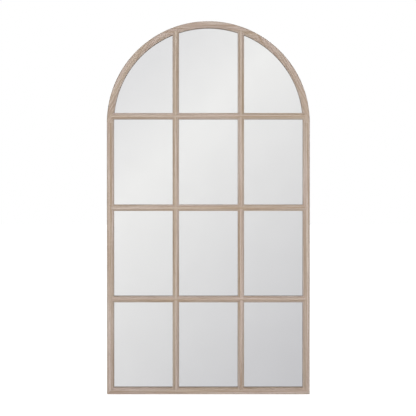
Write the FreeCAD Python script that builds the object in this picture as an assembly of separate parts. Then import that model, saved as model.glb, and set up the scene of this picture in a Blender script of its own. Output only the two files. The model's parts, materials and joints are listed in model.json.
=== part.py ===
"""Arched window mirror.

A wall mirror framed like a window: two stiles, a mitred bottom rail and a half-round head in three
segments, with a grid of two upright and three level glazing bars in front of one arched mirror sheet.
Behind it are a backboard, the points that hold it, two swinging D-rings on screwed straps and two bumpers.

Millimetres. X runs to the right as seen from the front, the front looks along -Y, the wall is on the +Y
side, and Z is up. The origin is the middle of the underside of the bottom rail, halfway through the frame.
"""

import FreeCAD
import Part
import math
import os

# ---- Driving dimensions: the frame ----
overall_width = 610.0
overall_height = 1122.0
frame_depth = 25.0
frame_face = 20.5  # width of stiles, rail and head seen from the front
outer_round = 4.0  # round-over along the outer front edge
back_ease = 1.0  # small chamfer along the outer back edge
frame_bevel = 7.5  # width of the bevel that falls towards the glass
bevel_drop = 4.5  # how far the bevels of frame and glazing bars fall back
rebate_width = 6.0  # ledge on which the glass lies
back_recess = 4.0  # how deep the backboard lies below the back of the frame

# ---- Driving dimensions: the grid of glazing bars ----
muntin_face = 19.0
muntin_bevel = 6.0
top_muntin_rise = 20.0  # centre of the top bar above the spring of the arch
columns = 3
rows_below_top_muntin = 3
tenon_length = 8.0
tenon_width = 12.0
tenon_front_cheek = 2.0  # wood between the bevels and the tenon
tenon_back_cheek = 2.5  # wood between the tenon and the glass
tenon_clearance = 0.1

# ---- Driving dimensions: glass, backboard and their points ----
glass_thickness = 4.0
glass_play = 1.0  # gap between the glass edge and the rebate wall
backboard_thickness = 3.0
backboard_play = 1.5
point_length = 14.0
point_width = 6.0
point_thickness = 0.6
point_driven = 5.0  # length of the point inside the wood
point_tip = 3.0  # length of the tapered tip
point_clearance = 0.05
points_per_stile = 5
points_on_rail = 4
points_on_arch = 9

# ---- Driving dimensions: wood joints ----
arch_joint_angles = (0.0, 60.0, 120.0, 180.0)  # joints of the head, counted from its right spring
dowel_radius = 3.0
dowel_length = 36.0
dowel_spacing = 10.0  # the two dowels of a joint, front to back
dowel_clearance = 0.1
dowel_end_gap = 1.0
v_nail_leg = 4.0  # from the apex to the end of each leg
v_nail_thickness = 0.6
v_nail_height = 9.0
v_nail_sunk = 0.5
v_nails_per_corner = 2
v_nail_clearance = 0.05
pin_radius = 0.7
pin_cover = 4.5  # from the front plane of the frame to the tip of the pin
pin_sunk = 0.5
pin_clearance = 0.05

# ---- Driving dimensions: hangers and bumpers ----
hanger_below_spring = 65.0  # swing axis of the D-rings under the spring of the arch
ring_wire_radius = 1.1
ring_inner_width = 9.6
ring_inner_length = 11.5  # from the swing axis to the inside of the bow
ring_corner_radius = 2.0  # bend of the wire's centre line beside the eye
eye_clearance = 0.06
strap_width = 7.5
strap_thickness = 0.9
strap_gap = 0.3  # between the wire and the strap it lies over
screw_below_axis = 6.8
screw_radius = 1.5
screw_length = 12.0
screw_point = 2.5
screw_head_radius = 3.2
screw_head_height = 1.9
screw_head_edge = 0.9  # height of the upright part of the head
screw_slot_width = 0.9
screw_slot_length = 3.6
screw_slot_depth = 1.1
screw_clearance = 0.3
pilot_clearance = 0.05
pilot_end_gap = 1.0
bumper_radius = 6.0
bumper_thickness = 5.0
bumper_ease = 0.8
bumper_height = 45.0  # bumper centre above the underside

overshoot = 1.0  # how far a cutting body runs past the piece that it cuts

# ---- Places that follow from them ----
front_y = -frame_depth / 2
back_y = frame_depth / 2
points_y = back_y - back_recess
backboard_y = points_y - backboard_thickness
glass_y = backboard_y - glass_thickness
half_width = overall_width / 2
spring_z = overall_height - half_width
rebate_inset = frame_face - rebate_width
back_middle_inset = rebate_inset / 2  # centre line of the wood behind the rebate
flat_inset = frame_face - frame_bevel  # where the flat of the frame ends and its bevel starts
pane_width = (overall_width - 2 * frame_face - (columns - 1) * muntin_face) / columns
top_muntin_z = spring_z + top_muntin_rise
pane_height = (
    top_muntin_z - muntin_face / 2 - frame_face - (rows_below_top_muntin - 1) * muntin_face
) / rows_below_top_muntin
muntin_xs = [
    -half_width + frame_face + pane_width * (n + 1) + muntin_face * (n + 0.5)
    for n in range(columns - 1)
]
muntin_zs = [
    frame_face + pane_height * (n + 1) + muntin_face * (n + 0.5)
    for n in range(rows_below_top_muntin)
]
lap_y = (front_y + glass_y) / 2  # where crossing bars share their thickness
tenon_front_y = front_y + bevel_drop + tenon_front_cheek
tenon_back_y = glass_y - tenon_back_cheek
v_nail_pitch = rebate_inset * 0.75 / v_nails_per_corner  # over the outer three quarters of the wood
v_nail_insets = [v_nail_pitch * (n + 1) for n in range(v_nails_per_corner)]
hanger_height = spring_z - hanger_below_spring
ring_axis_y = back_y + strap_thickness + strap_gap + ring_wire_radius
hardware_x = half_width - back_middle_inset

along_x = FreeCAD.Vector(1, 0, 0)
along_y = FreeCAD.Vector(0, 1, 0)
along_z = FreeCAD.Vector(0, 0, 1)
arch_centre = FreeCAD.Vector(0, 0, spring_z)


# ---- Small helpers ----
def point(x, y, z):
    return FreeCAD.Vector(x, y, z)


def box(low, high):
    """Box between two opposite corners."""
    size = high - low
    return Part.makeBox(size.x, size.y, size.z, low)


def prism(points, direction):
    """Flat polygon pushed along a direction."""
    return Part.Face(Part.makePolygon(points + points[:1])).extrude(direction)


def mirrored(shape):
    """The same piece on the other side of the centre line."""
    return shape.mirror(point(0, 0, 0), along_x)


def join(shapes):
    """One solid out of touching shapes."""
    return shapes[0].fuse(shapes[1:]).removeSplitter()


def turned(shape, degrees):
    """Swung round the centre of the arch, from the right spring towards the crown."""
    copy = shape.copy()
    copy.rotate(arch_centre, -along_y, degrees)
    return copy


def arched_sheet(inset, low_y, high_y):
    """Slab with the outline of the whole mirror, drawn in by an inset."""
    radius = half_width - inset
    foot_left = point(-radius, low_y, inset)
    foot_right = point(radius, low_y, inset)
    spring_left = point(-radius, low_y, spring_z)
    spring_right = point(radius, low_y, spring_z)
    crown = point(0, low_y, spring_z + radius)
    outline = Part.Wire(
        [
            Part.LineSegment(foot_left, foot_right).toShape(),
            Part.LineSegment(foot_right, spring_right).toShape(),
            Part.Arc(spring_right, crown, spring_left).toShape(),
            Part.LineSegment(spring_left, foot_left).toShape(),
        ]
    )
    return Part.Face(outline).extrude(along_y * (high_y - low_y))


# ---- Frame members ----
def frame_section(place):
    """Section of the frame moulding; place(inset, y) puts a point of it in space."""
    round_middle = outer_round * (1 - math.sqrt(0.5))
    edge_low = place(0, front_y + outer_round)
    edge_middle = place(round_middle, front_y + round_middle)
    edge_high = place(outer_round, front_y)
    corners = [
        edge_high,
        place(flat_inset, front_y),
        place(frame_face, front_y + bevel_drop),
        place(frame_face, glass_y),
        place(rebate_inset, glass_y),
        place(rebate_inset, back_y),
        place(back_ease, back_y),
        place(0, back_y - back_ease),
        edge_low,
    ]
    edges = [Part.LineSegment(a, b).toShape() for a, b in zip(corners, corners[1:])]
    edges.append(Part.Arc(edge_low, edge_middle, edge_high).toShape())
    return Part.Face(Part.Wire(edges))


def mitred(moulding, corners):
    """Straight moulding trimmed to an outline of (x, z) corners, right through its depth."""
    low_y = front_y - overshoot
    outline = [point(x, low_y, z) for x, z in corners]
    return moulding.common(prism(outline, along_y * (frame_depth + 2 * overshoot)))


def left_stile_blank():
    section = frame_section(lambda inset, y: point(-half_width + inset, y, 0))
    inner_x = -half_width + frame_face
    corners = [(-half_width, 0), (inner_x, frame_face), (inner_x, spring_z), (-half_width, spring_z)]
    return mitred(section.extrude(along_z * spring_z), corners)


def bottom_rail_blank():
    section = frame_section(lambda inset, y: point(-half_width, y, inset))
    inner_x = half_width - frame_face
    corners = [(-half_width, 0), (half_width, 0), (inner_x, frame_face), (-inner_x, frame_face)]
    return mitred(section.extrude(along_x * overall_width), corners)


def arch_blank(start, end):
    """One segment of the head, between two angles counted from the right spring."""
    section = frame_section(lambda inset, y: point(half_width - inset, y, spring_z))
    return turned(section, start).revolve(arch_centre, -along_y, end - start)


# ---- Joints in the wood ----
def dowel(extra_radius, extra_length):
    """One dowel across the right spring joint, in the middle of the frame's depth."""
    length = dowel_length + 2 * extra_length
    low = point(half_width - back_middle_inset, 0, spring_z - length / 2)
    return Part.makeCylinder(dowel_radius + extra_radius, length, low, along_z)


def arch_dowels(extra_radius=0.0, extra_length=0.0):
    """Two dowels, front and back, in every joint of the head."""
    dowels = []
    for angle in arch_joint_angles:
        for side in (-1, 1):
            placed = dowel(extra_radius, extra_length)
            placed.translate(along_y * (side * dowel_spacing / 2))
            dowels.append(turned(placed, angle))
    return dowels


def v_nail(inset, extra=0.0):
    """Steel wedge across the left bottom mitre, with a leg in the stile and a leg in the rail."""
    half = v_nail_thickness / 2 + extra
    apex = point(-half_width + inset, 0, inset)
    low_y = back_y - v_nail_sunk - v_nail_height
    high_y = back_y - v_nail_sunk
    if extra:
        high_y = back_y + overshoot
    stile_leg = box(
        apex + point(-v_nail_leg - extra, low_y - extra, -half),
        apex + point(half, high_y, half),
    )
    rail_leg = box(
        apex + point(-half, low_y - extra, -v_nail_leg - extra),
        apex + point(half, high_y, half),
    )
    return join([stile_leg, rail_leg])


def corner_v_nails(extra=0.0):
    left = [v_nail(inset, extra) for inset in v_nail_insets]
    return left + [mirrored(nail) for nail in left]


def upright_bar(x, half_size, low_y, high_y):
    """Square-edged bar up the whole mirror, for tenons and mortises."""
    return box(point(x - half_size, low_y, 0), point(x + half_size, high_y, overall_height))


def level_bar(z, half_size, low_y, high_y):
    """Square-edged bar across the whole mirror, for tenons and mortises."""
    return box(
        point(-half_width, low_y, z - half_size), point(half_width, high_y, z + half_size)
    )


def tenon_bar(make_bar, place, extra=0.0):
    """The tenons of both ends of a bar in one piece, as deep as they reach into the frame."""
    bar = make_bar(place, tenon_width / 2 + extra, tenon_front_y - extra, tenon_back_y + extra)
    return bar.common(
        arched_sheet(frame_face - tenon_length - extra, front_y, glass_y)
    )


def mortises():
    upright = [tenon_bar(upright_bar, x, tenon_clearance) for x in muntin_xs]
    level = [tenon_bar(level_bar, z, tenon_clearance) for z in muntin_zs]
    return upright + level


def pin_places():
    """Middle of the ledge at both ends of every glazing bar, as (x, z)."""
    inset = frame_face - rebate_width / 2
    radius = half_width - inset
    places = []
    for x in muntin_xs:
        places.append((x, inset))
        places.append((x, spring_z + math.sqrt(radius**2 - x**2)))
    for z in muntin_zs:
        above_spring = max(0.0, z - spring_z)
        reach = math.sqrt(radius**2 - above_spring**2)
        places.append((-reach, z))
        places.append((reach, z))
    return places


def tenon_pins(extra=0.0):
    """Pins driven from the ledge of the rebate forward through the tenons."""
    start_y = glass_y - pin_sunk
    end_y = front_y + pin_cover
    if extra:
        start_y = glass_y + overshoot
        end_y = end_y - extra
    length = start_y - end_y
    return [
        Part.makeCylinder(pin_radius + extra, length, point(x, start_y, z), -along_y)
        for x, z in pin_places()
    ]


# ---- Points that hold the glass and the backboard ----
def framers_point(extra=0.0):
    """One point in the right stile at the spring, its tip driven into the rebate wall."""
    wall_x = half_width - rebate_inset
    tip_x = wall_x + point_driven + extra
    tail_x = tip_x - extra - point_length
    half = point_width / 2 + extra
    low_y = points_y - extra
    outline = [
        point(tail_x, low_y, spring_z - half),
        point(tip_x - point_tip, low_y, spring_z - half),
        point(tip_x, low_y, spring_z),
        point(tip_x - point_tip, low_y, spring_z + half),
        point(tail_x, low_y, spring_z + half),
    ]
    return prism(outline, along_y * (point_thickness + 2 * extra))


def framers_points(extra=0.0):
    """Points spread evenly along both stiles, the bottom rail and the head."""
    points = []
    for n in range(points_per_stile):
        height = spring_z * (n + 0.5) / points_per_stile
        right = framers_point(extra)
        right.translate(along_z * (height - spring_z))
        points.append(right)
        points.append(mirrored(right))
    for n in range(points_on_arch):
        points.append(turned(framers_point(extra), 180 * (n + 0.5) / points_on_arch))
    for n in range(points_on_rail):
        x = -half_width + overall_width * (n + 0.5) / points_on_rail
        placed = turned(framers_point(extra), -90)
        placed.translate(point(x, 0, half_width - spring_z))
        points.append(placed)
    return points


# ---- Hangers and bumpers, made on the right and mirrored to the left ----
def hanger_screw():
    """Pan-head screw through the strap, with a cross recess."""
    head_y = back_y + strap_thickness
    place = point(hardware_x, head_y, hanger_height - screw_below_axis)
    tip_y = head_y - screw_length
    outline = [
        point(0, head_y + screw_head_height, 0),
        point(screw_head_radius - screw_head_edge, head_y + screw_head_height, 0),
        point(screw_head_radius, head_y + screw_head_edge, 0),
        point(screw_head_radius, head_y, 0),
        point(screw_radius, head_y, 0),
        point(screw_radius, tip_y + screw_point, 0),
        point(0, tip_y, 0),
    ]
    face = Part.Face(Part.makePolygon(outline + outline[:1]))
    screw = face.revolve(point(0, 0, 0), along_y, 360)
    top_y = head_y + screw_head_height
    for half_x, half_z in (
        (screw_slot_length / 2, screw_slot_width / 2),
        (screw_slot_width / 2, screw_slot_length / 2),
    ):
        slot = box(
            point(-half_x, top_y - screw_slot_depth, -half_z),
            point(half_x, top_y + overshoot, half_z),
        )
        screw = screw.cut(slot)
    screw.translate(point(place.x, 0, place.z))
    return screw


def screw_pilot():
    """Hole for the screw in the back of the right stile."""
    depth = screw_length - strap_thickness + pilot_end_gap
    return Part.makeCylinder(
        screw_radius + pilot_clearance,
        depth + overshoot,
        point(hardware_x, back_y + overshoot, hanger_height - screw_below_axis),
        -along_y,
    )


def hanger_strap():
    """Bent steel strap: a plate on the frame's back with a rolled eye at its top."""
    half = strap_width / 2
    screw_z = hanger_height - screw_below_axis
    plate = box(
        point(hardware_x - half, back_y, screw_z),
        point(hardware_x + half, back_y + strap_thickness, hanger_height),
    )
    rounded_end = Part.makeCylinder(
        half, strap_thickness, point(hardware_x, back_y, screw_z), along_y
    )
    eye_start = point(hardware_x - half, ring_axis_y, hanger_height)
    bore_radius = ring_wire_radius + eye_clearance
    eye = Part.makeCylinder(bore_radius + strap_thickness, strap_width, eye_start, along_x)
    bore = Part.makeCylinder(bore_radius, strap_width, eye_start, along_x)
    hole = Part.makeCylinder(
        screw_radius + screw_clearance,
        strap_thickness,
        point(hardware_x, back_y, screw_z),
        along_y,
    )
    return join([plate, rounded_end, eye]).cut(bore).cut(hole)


def wire_end(x, z):
    """Cross-section of the ring's wire where it runs straight up."""
    circle = Part.makeCircle(ring_wire_radius, point(x, ring_axis_y, z), along_z)
    return Part.Face(Part.Wire(circle))


def d_ring():
    """Wire D hanging from its straight side: a bar in the eye, two legs and a half-round bow."""
    bow_radius = ring_inner_width / 2 + ring_wire_radius
    bow_z = hanger_height - (ring_inner_length - ring_inner_width / 2)
    bar_half = bow_radius - ring_corner_radius
    leg_top_z = hanger_height - ring_corner_radius
    bar = Part.makeCylinder(
        ring_wire_radius,
        2 * bar_half,
        point(hardware_x - bar_half, ring_axis_y, hanger_height),
        along_x,
    )
    pieces = [bar]
    for side in (-1, 1):
        leg_x = hardware_x + side * bow_radius
        leg = Part.makeCylinder(
            ring_wire_radius, leg_top_z - bow_z, point(leg_x, ring_axis_y, bow_z), along_z
        )
        corner_centre = point(leg_x - side * ring_corner_radius, ring_axis_y, leg_top_z)
        corner = wire_end(leg_x, leg_top_z).revolve(corner_centre, along_y * -side, 90)
        pieces += [leg, corner]
    bow_centre = point(hardware_x, ring_axis_y, bow_z)
    pieces.append(wire_end(hardware_x + bow_radius, bow_z).revolve(bow_centre, along_y, 180))
    return join(pieces)


def wall_bumper():
    """Rubber pad on the back of the right stile, with an eased rim towards the wall."""
    low = point(hardware_x, back_y, bumper_height)
    body = Part.makeCylinder(bumper_radius, bumper_thickness - bumper_ease, low, along_y)
    rim = Part.makeCone(
        bumper_radius,
        bumper_radius - bumper_ease,
        bumper_ease,
        low + along_y * (bumper_thickness - bumper_ease),
        along_y,
    )
    return join([body, rim])


# ---- Glazing bars ----
def muntin_profile(place):
    """Section of a glazing bar; place(offset, y) puts a point of it in space."""
    half = muntin_face / 2
    flat = half - muntin_bevel
    return [
        place(-half, glass_y),
        place(-half, front_y + bevel_drop),
        place(-flat, front_y),
        place(flat, front_y),
        place(half, front_y + bevel_drop),
        place(half, glass_y),
    ]


def fitted_bar(bar, tenons, frame_blanks, pin_holes):
    """Bar scribed over the bevel of the frame, with its tenons and pin holes."""
    inside = arched_sheet(flat_inset, front_y - overshoot, glass_y)
    scribed = bar.common(inside).cut(frame_blanks)
    return join([scribed, tenons]).cut(pin_holes)


def crossing(x, z, low_y, high_y):
    """The square that two crossing bars share."""
    half = muntin_face / 2
    return box(point(x - half, low_y, z - half), point(x + half, high_y, z + half))


def upright_wedges(x, z):
    """The upright bar's share of a crossing's front half: two mitred wedges above and below."""
    half = muntin_face / 2
    flat = half - muntin_bevel
    wedges = []
    for side in (-1, 1):
        outline = [
            point(x - half, front_y, z + side * half),
            point(x + half, front_y, z + side * half),
            point(x + flat, front_y, z + side * flat),
            point(x - flat, front_y, z + side * flat),
        ]
        wedges.append(prism(outline, along_y * (lap_y - front_y)))
    return wedges


def upright_muntin(x, frame_blanks, pin_holes):
    profile = muntin_profile(lambda offset, y: point(x + offset, y, 0))
    bar = prism(profile, along_z * overall_height)
    bar = fitted_bar(bar, tenon_bar(upright_bar, x), frame_blanks, pin_holes)
    for z in muntin_zs:
        notch = crossing(x, z, front_y, lap_y).cut(upright_wedges(x, z))
        bar = bar.cut(notch)
    return bar.removeSplitter()


def level_muntin(z, frame_blanks, pin_holes):
    profile = muntin_profile(lambda offset, y: point(-half_width, y, z + offset))
    bar = prism(profile, along_x * overall_width)
    bar = fitted_bar(bar, tenon_bar(level_bar, z), frame_blanks, pin_holes)
    for x in muntin_xs:
        bar = bar.cut(upright_wedges(x, z) + [crossing(x, z, lap_y, glass_y)])
    return bar.removeSplitter()


# ---- The whole mirror ----
def build():
    """Every piece by its name; a list holds a group of alike loose pieces."""
    stile = left_stile_blank()
    right_angle, crown_start, crown_end, left_angle = arch_joint_angles
    blanks = {
        "left_stile": stile,
        "right_stile": mirrored(stile),
        "bottom_rail": bottom_rail_blank(),
        "arch_right_segment": arch_blank(right_angle, crown_start),
        "arch_crown_segment": arch_blank(crown_start, crown_end),
        "arch_left_segment": arch_blank(crown_end, left_angle),
    }
    pilot = screw_pilot()
    pin_holes = tenon_pins(pin_clearance)
    cuts = (
        mortises()
        + pin_holes
        + arch_dowels(dowel_clearance, dowel_end_gap)
        + corner_v_nails(v_nail_clearance)
        + framers_points(point_clearance)
        + [pilot, mirrored(pilot)]
    )
    parts = {name: blank.cut(cuts) for name, blank in blanks.items()}

    frame_blanks = list(blanks.values())
    for side, x in zip(("left", "right"), muntin_xs):
        parts["muntin_vertical_" + side] = upright_muntin(x, frame_blanks, pin_holes)
    for level, z in zip(("bottom", "middle", "top"), muntin_zs):
        parts["muntin_horizontal_" + level] = level_muntin(z, frame_blanks, pin_holes)

    parts["mirror_glass"] = arched_sheet(rebate_inset + glass_play, glass_y, backboard_y)
    parts["backboard"] = arched_sheet(rebate_inset + backboard_play, backboard_y, points_y)
    parts["framers_points"] = framers_points()
    parts["arch_dowels"] = arch_dowels()
    parts["corner_v_nails"] = corner_v_nails()
    parts["tenon_pins"] = tenon_pins()

    screw = hanger_screw()
    bumper = wall_bumper()
    parts["hanger_screws"] = [screw, mirrored(screw)]
    parts["wall_bumpers"] = [bumper, mirrored(bumper)]
    for name, piece in (("hanger_strap", hanger_strap()), ("d_ring", d_ring())):
        parts[name + "_right"] = piece
        parts[name + "_left"] = mirrored(piece)
    return parts


os.makedirs("parts", exist_ok=True)
for name, shape in build().items():
    if isinstance(shape, list):
        shape = Part.makeCompound(shape)
    shape.exportStep("parts/" + name + ".step")
    print(f"{name}: {len(shape.Solids)} solids, valid {shape.isValid()}, {shape.Volume:.1f} mm3")
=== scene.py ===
# %% [markdown]
# # Arched window mirror
# A wall mirror that looks like an arched window: a pale washed-wood frame with a half-round head, one
# arched sheet of mirror glass, and a grid of wooden glazing bars laid over it. The back carries a
# hardboard sheet, steel points, two D-ring hangers and two rubber pads.
#
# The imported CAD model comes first. It is the fixed frame: each piece below goes where it says.

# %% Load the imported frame
import json
import math
import random

import bmesh
import bpy
from mathutils import Matrix, Vector

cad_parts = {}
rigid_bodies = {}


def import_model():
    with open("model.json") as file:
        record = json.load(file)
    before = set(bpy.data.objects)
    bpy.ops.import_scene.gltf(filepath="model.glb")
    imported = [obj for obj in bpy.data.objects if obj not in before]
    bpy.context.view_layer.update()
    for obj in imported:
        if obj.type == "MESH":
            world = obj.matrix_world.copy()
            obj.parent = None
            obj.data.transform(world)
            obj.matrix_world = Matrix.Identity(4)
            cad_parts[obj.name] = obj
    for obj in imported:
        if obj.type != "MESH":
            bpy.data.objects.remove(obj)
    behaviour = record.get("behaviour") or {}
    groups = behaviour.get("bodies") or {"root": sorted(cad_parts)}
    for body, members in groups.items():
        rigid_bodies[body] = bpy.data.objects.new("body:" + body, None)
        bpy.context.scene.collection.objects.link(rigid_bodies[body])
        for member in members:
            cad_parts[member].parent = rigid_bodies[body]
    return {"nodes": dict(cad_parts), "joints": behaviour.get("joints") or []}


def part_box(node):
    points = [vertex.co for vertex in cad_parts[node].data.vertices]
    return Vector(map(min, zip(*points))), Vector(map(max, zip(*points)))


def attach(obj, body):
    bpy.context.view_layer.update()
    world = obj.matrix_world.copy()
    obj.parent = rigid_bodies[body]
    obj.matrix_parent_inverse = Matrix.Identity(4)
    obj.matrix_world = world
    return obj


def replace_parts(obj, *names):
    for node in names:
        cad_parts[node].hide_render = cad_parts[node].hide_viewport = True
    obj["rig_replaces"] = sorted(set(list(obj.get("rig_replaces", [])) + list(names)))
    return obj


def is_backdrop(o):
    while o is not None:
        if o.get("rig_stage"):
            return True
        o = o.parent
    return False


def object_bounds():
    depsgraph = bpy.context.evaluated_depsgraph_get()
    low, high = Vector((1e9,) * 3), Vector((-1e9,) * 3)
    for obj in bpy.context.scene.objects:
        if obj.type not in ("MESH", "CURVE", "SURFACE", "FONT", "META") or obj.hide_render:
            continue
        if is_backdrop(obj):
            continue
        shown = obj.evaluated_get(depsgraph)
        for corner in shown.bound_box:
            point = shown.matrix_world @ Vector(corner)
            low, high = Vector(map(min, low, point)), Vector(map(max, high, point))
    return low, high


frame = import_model()
nodes = frame["nodes"]
cad_low, cad_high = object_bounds()
mm = 0.001
print("CAD box in mm:", [round(v / mm, 1) for v in (*cad_low, *cad_high)])

# %% [markdown]
# ## Measures
# A frame maker works with a few numbers: the outline, the face of each moulding, and how deep each
# layer lies. Here they are read from the CAD pieces where those show them plainly, so that the looks
# follow the model. Depth runs along Y: the front has the lowest value and the wall is on the + side.

# %% Measures of the frame, in metres
half_width = cad_high.x
height = cad_high.z
spring = height - half_width  # where the straight stiles end and the half-round head starts
rail_low, rail_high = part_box("bottom_rail")
front, back = rail_low.y, rail_high.y
frame_face = rail_high.z
glass_low, glass_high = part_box("mirror_glass")
bar_low, bar_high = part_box("muntin_vertical_left")
bar_half = (bar_high.x - bar_low.x) / 2
bevel_drop = 4.5 * mm
frame_bevel = 7.5 * mm
bar_bevel = 6 * mm
ledge = 6 * mm
sheet_gap = 0.05 * mm  # the wood stops this far in front of the glass, so that no two faces coincide
wood_back = glass_low.y - sheet_gap
arch_centre = Vector((0, 0, spring))
print("face of frame", round(frame_face / mm, 2), "mm, of bars", round(2 * bar_half / mm, 2), "mm")

# %% [markdown]
# ## Camera
# The photograph looks straight at the mirror from far away, so its sides stay parallel. A long lens a
# few metres off gives that. The lens follows from the distance, so the object keeps its size in the
# picture when the distance changes. A camera is aimed by turning its -Z axis to the point it looks at.

# %% Camera
picture_side = 416  # pixels
pixels_per_metre = 332.8  # size of the mirror in the picture
sensor_width = 36  # millimetres, like the lens
camera_distance, camera_height = 5.5, 0.65
camera_at = Vector((0, front - camera_distance, camera_height))
aim = Vector((-1 * mm, front, height / 2))  # the picture's middle is a millimetre beside the mirror's
camera_data = bpy.data.cameras.new("camera")
camera_data.sensor_width = sensor_width
camera_data.lens = sensor_width * pixels_per_metre * camera_distance / picture_side
camera = bpy.data.objects.new("camera", camera_data)
camera.location = camera_at
camera.rotation_euler = (aim - camera_at).to_track_quat("-Z", "Y").to_euler()
bpy.context.scene.collection.objects.link(camera)
bpy.context.scene.camera = camera
bpy.context.scene.view_settings.view_transform = "Standard"
print("lens", round(camera_data.lens, 1), "mm")

# %% [markdown]
# ## Two small tools for materials
# Colours are picked as hex values, as a paint chart gives them. Blender calculates with linear light,
# so one function turns them. The second one adds a node, sets it and links it, which keeps a material
# readable as a list of steps.

# %% Colour and node tools
def linear(hex_colour):
    """Linear RGBA of an sRGB hex colour."""
    channels = [int(hex_colour[i:i + 2], 16) / 255 for i in (1, 3, 5)]
    return (*[c / 12.92 if c <= 0.04045 else ((c + 0.055) / 1.055) ** 2.4 for c in channels], 1)


def add(tree, kind, inputs=None, stops=(), **settings):
    """Adds one node: its inputs are values or other nodes' outputs, settings are its own fields."""
    node = tree.nodes.new("ShaderNode" + kind)
    for field, value in settings.items():
        setattr(node, field, value)
    for socket, value in (inputs or {}).items():
        if isinstance(value, bpy.types.NodeSocket):
            tree.links.new(value, node.inputs[socket])
        else:
            node.inputs[socket].default_value = value
    for _ in stops[2:]:
        node.color_ramp.elements.new(0.5)
    for number, (place, colour) in enumerate(stops):
        node.color_ramp.elements[number].position = place
        node.color_ramp.elements[number].color = linear(colour)
    return node


def new_material(name):
    """An empty material with one Principled shader: (material, its tree, the shader)."""
    material = bpy.data.materials.new(name)
    material.use_nodes = True
    tree = material.node_tree
    tree.nodes.clear()
    shader = add(tree, "BsdfPrincipled")
    add(tree, "OutputMaterial", {"Surface": shader.outputs["BSDF"]})
    return material, tree, shader


print("middle grey in linear light:", round(linear("#808080")[0], 3))

# %% [markdown]
# ## World
# The world does three jobs, told apart by Light Path. Seen directly it is the white background. For the
# wood it is a soft, even light. In the mirror it is the pale wall across the studio, which the
# photograph shows: brightest towards the upper left and falling off to a cool grey at the lower right.
# The fall-off follows the direction of the reflected ray, so it also turns rightly in other views.

# %% World
def ray_kinds(tree):
    """Two switches for a tree: 1 for rays from the camera, and 1 for rays from glass or metal."""
    path = add(tree, "LightPath").outputs
    ways = {0: path["Is Glossy Ray"], 1: path["Is Transmission Ray"]}
    return path["Is Camera Ray"], add(tree, "Math", ways, operation="MAXIMUM").outputs[0]


world = bpy.data.worlds.new("studio")
bpy.context.scene.world = world
world.use_nodes = True
sky = world.node_tree
sky.nodes.clear()
direction = add(sky, "SeparateXYZ", {"Vector": add(sky, "TexCoord").outputs["Generated"]})
shallowest = 0.05  # keeps the slope finite for rays along the wall
depth = add(sky, "Math", {0: direction.outputs["Y"]}, operation="ABSOLUTE")
depth = add(sky, "Math", {0: depth.outputs[0], 1: shallowest}, operation="MAXIMUM")
slant = add(sky, "Math", {0: direction.outputs["X"], 1: direction.outputs["Z"]}, operation="SUBTRACT")
slope = add(sky, "Math", {0: slant.outputs[0], 1: depth.outputs[0]}, operation="DIVIDE")
wall_left, wall_right = -0.20, 0.20
place = add(sky, "MapRange", {"Value": slope.outputs[0], "From Min": wall_left, "From Max": wall_right})
wall_tones = [(0.0, "#DEDEDE"), (0.26, "#E8E8E8"), (0.41, "#F5F5F3"), (0.88, "#CCCCCE"), (1.0, "#C0C0C3")]
wall = add(sky, "ValToRGB", {"Fac": place.outputs[0]}, stops=wall_tones)
from_camera, from_shiny = ray_kinds(sky)
soft_light = 0.16
even, white = (soft_light, soft_light, soft_light, 1), (1, 1, 1, 1)
seen = add(sky, "Mix", {0: from_shiny, 6: even, 7: wall.outputs[0]}, data_type="RGBA")
seen = add(sky, "Mix", {0: from_camera, 6: seen.outputs[2], 7: white}, data_type="RGBA")
background = add(sky, "Background", {"Color": seen.outputs[2], "Strength": 1})
add(sky, "OutputWorld", {"Surface": background.outputs[0]})
print("world:", len(sky.nodes), "nodes, soft light", soft_light)

# %% [markdown]
# ## Lamps
# The photograph is lit as flat artwork is copied: by two equal softboxes, left and right, at the height of
# the mirror's middle. Every bevel then comes out a little darker than the flats, whichever way it faces,
# and the light falls off towards the crown and the foot. A grid on a softbox narrows its beam, which is
# the lamp's spread. The mirror doesn't show them. The same pair stands behind, for views of the back,
# where its highlights make the hangers look like metal. A weak one overhead lights what faces up.

# %% Lamps
def softbox(name, place, towards, size, power, spread, highlights):
    """A square area lamp at a place, facing a point. Without highlights, nothing shiny shows it."""
    data = bpy.data.lights.new(name, "AREA")
    data.size = size
    data.energy = power
    data.spread = math.radians(spread)
    lamp = bpy.data.objects.new(name, data)
    lamp.location = place
    lamp.rotation_euler = (Vector(towards) - Vector(place)).to_track_quat("-Z", "Y").to_euler()
    lamp.visible_camera = False
    lamp.visible_glossy = highlights
    lamp.visible_transmission = False
    bpy.context.scene.collection.objects.link(lamp)


lamp_aside, lamp_away, lamp_height = 1.3, 3.0, 0.68
for end, end_name in ((-1, "front"), (1, "back")):
    for side, side_name in ((-1, "left"), (1, "right")):
        softbox(
            f"{end_name}_{side_name}_softbox", (side * lamp_aside, end * lamp_away, lamp_height),
            (0, 0, lamp_height), size=1.0, power=7.3, spread=68, highlights=end_name == "back",
        )
overhead_y, overhead_z = -0.2, 3.2
softbox(
    "overhead_softbox", (0, overhead_y, overhead_z), (0, overhead_y, 0),
    size=2.0, power=10.0, spread=120, highlights=False,
)
print("lamps in watts:", {lamp.name: round(lamp.energy, 1) for lamp in bpy.data.lights})

# %% [markdown]
# ## Floor
# A large white floor carries the mirror. For the camera a little light of its own lifts the bare floor
# to the white of the background, more so far out, where the lamps don't reach. The mirror's shadow stays,
# as what is missing from the lamps' part. Rays that leave the mirror or a metal pass through the floor,
# so that they show the studio wall.

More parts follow.
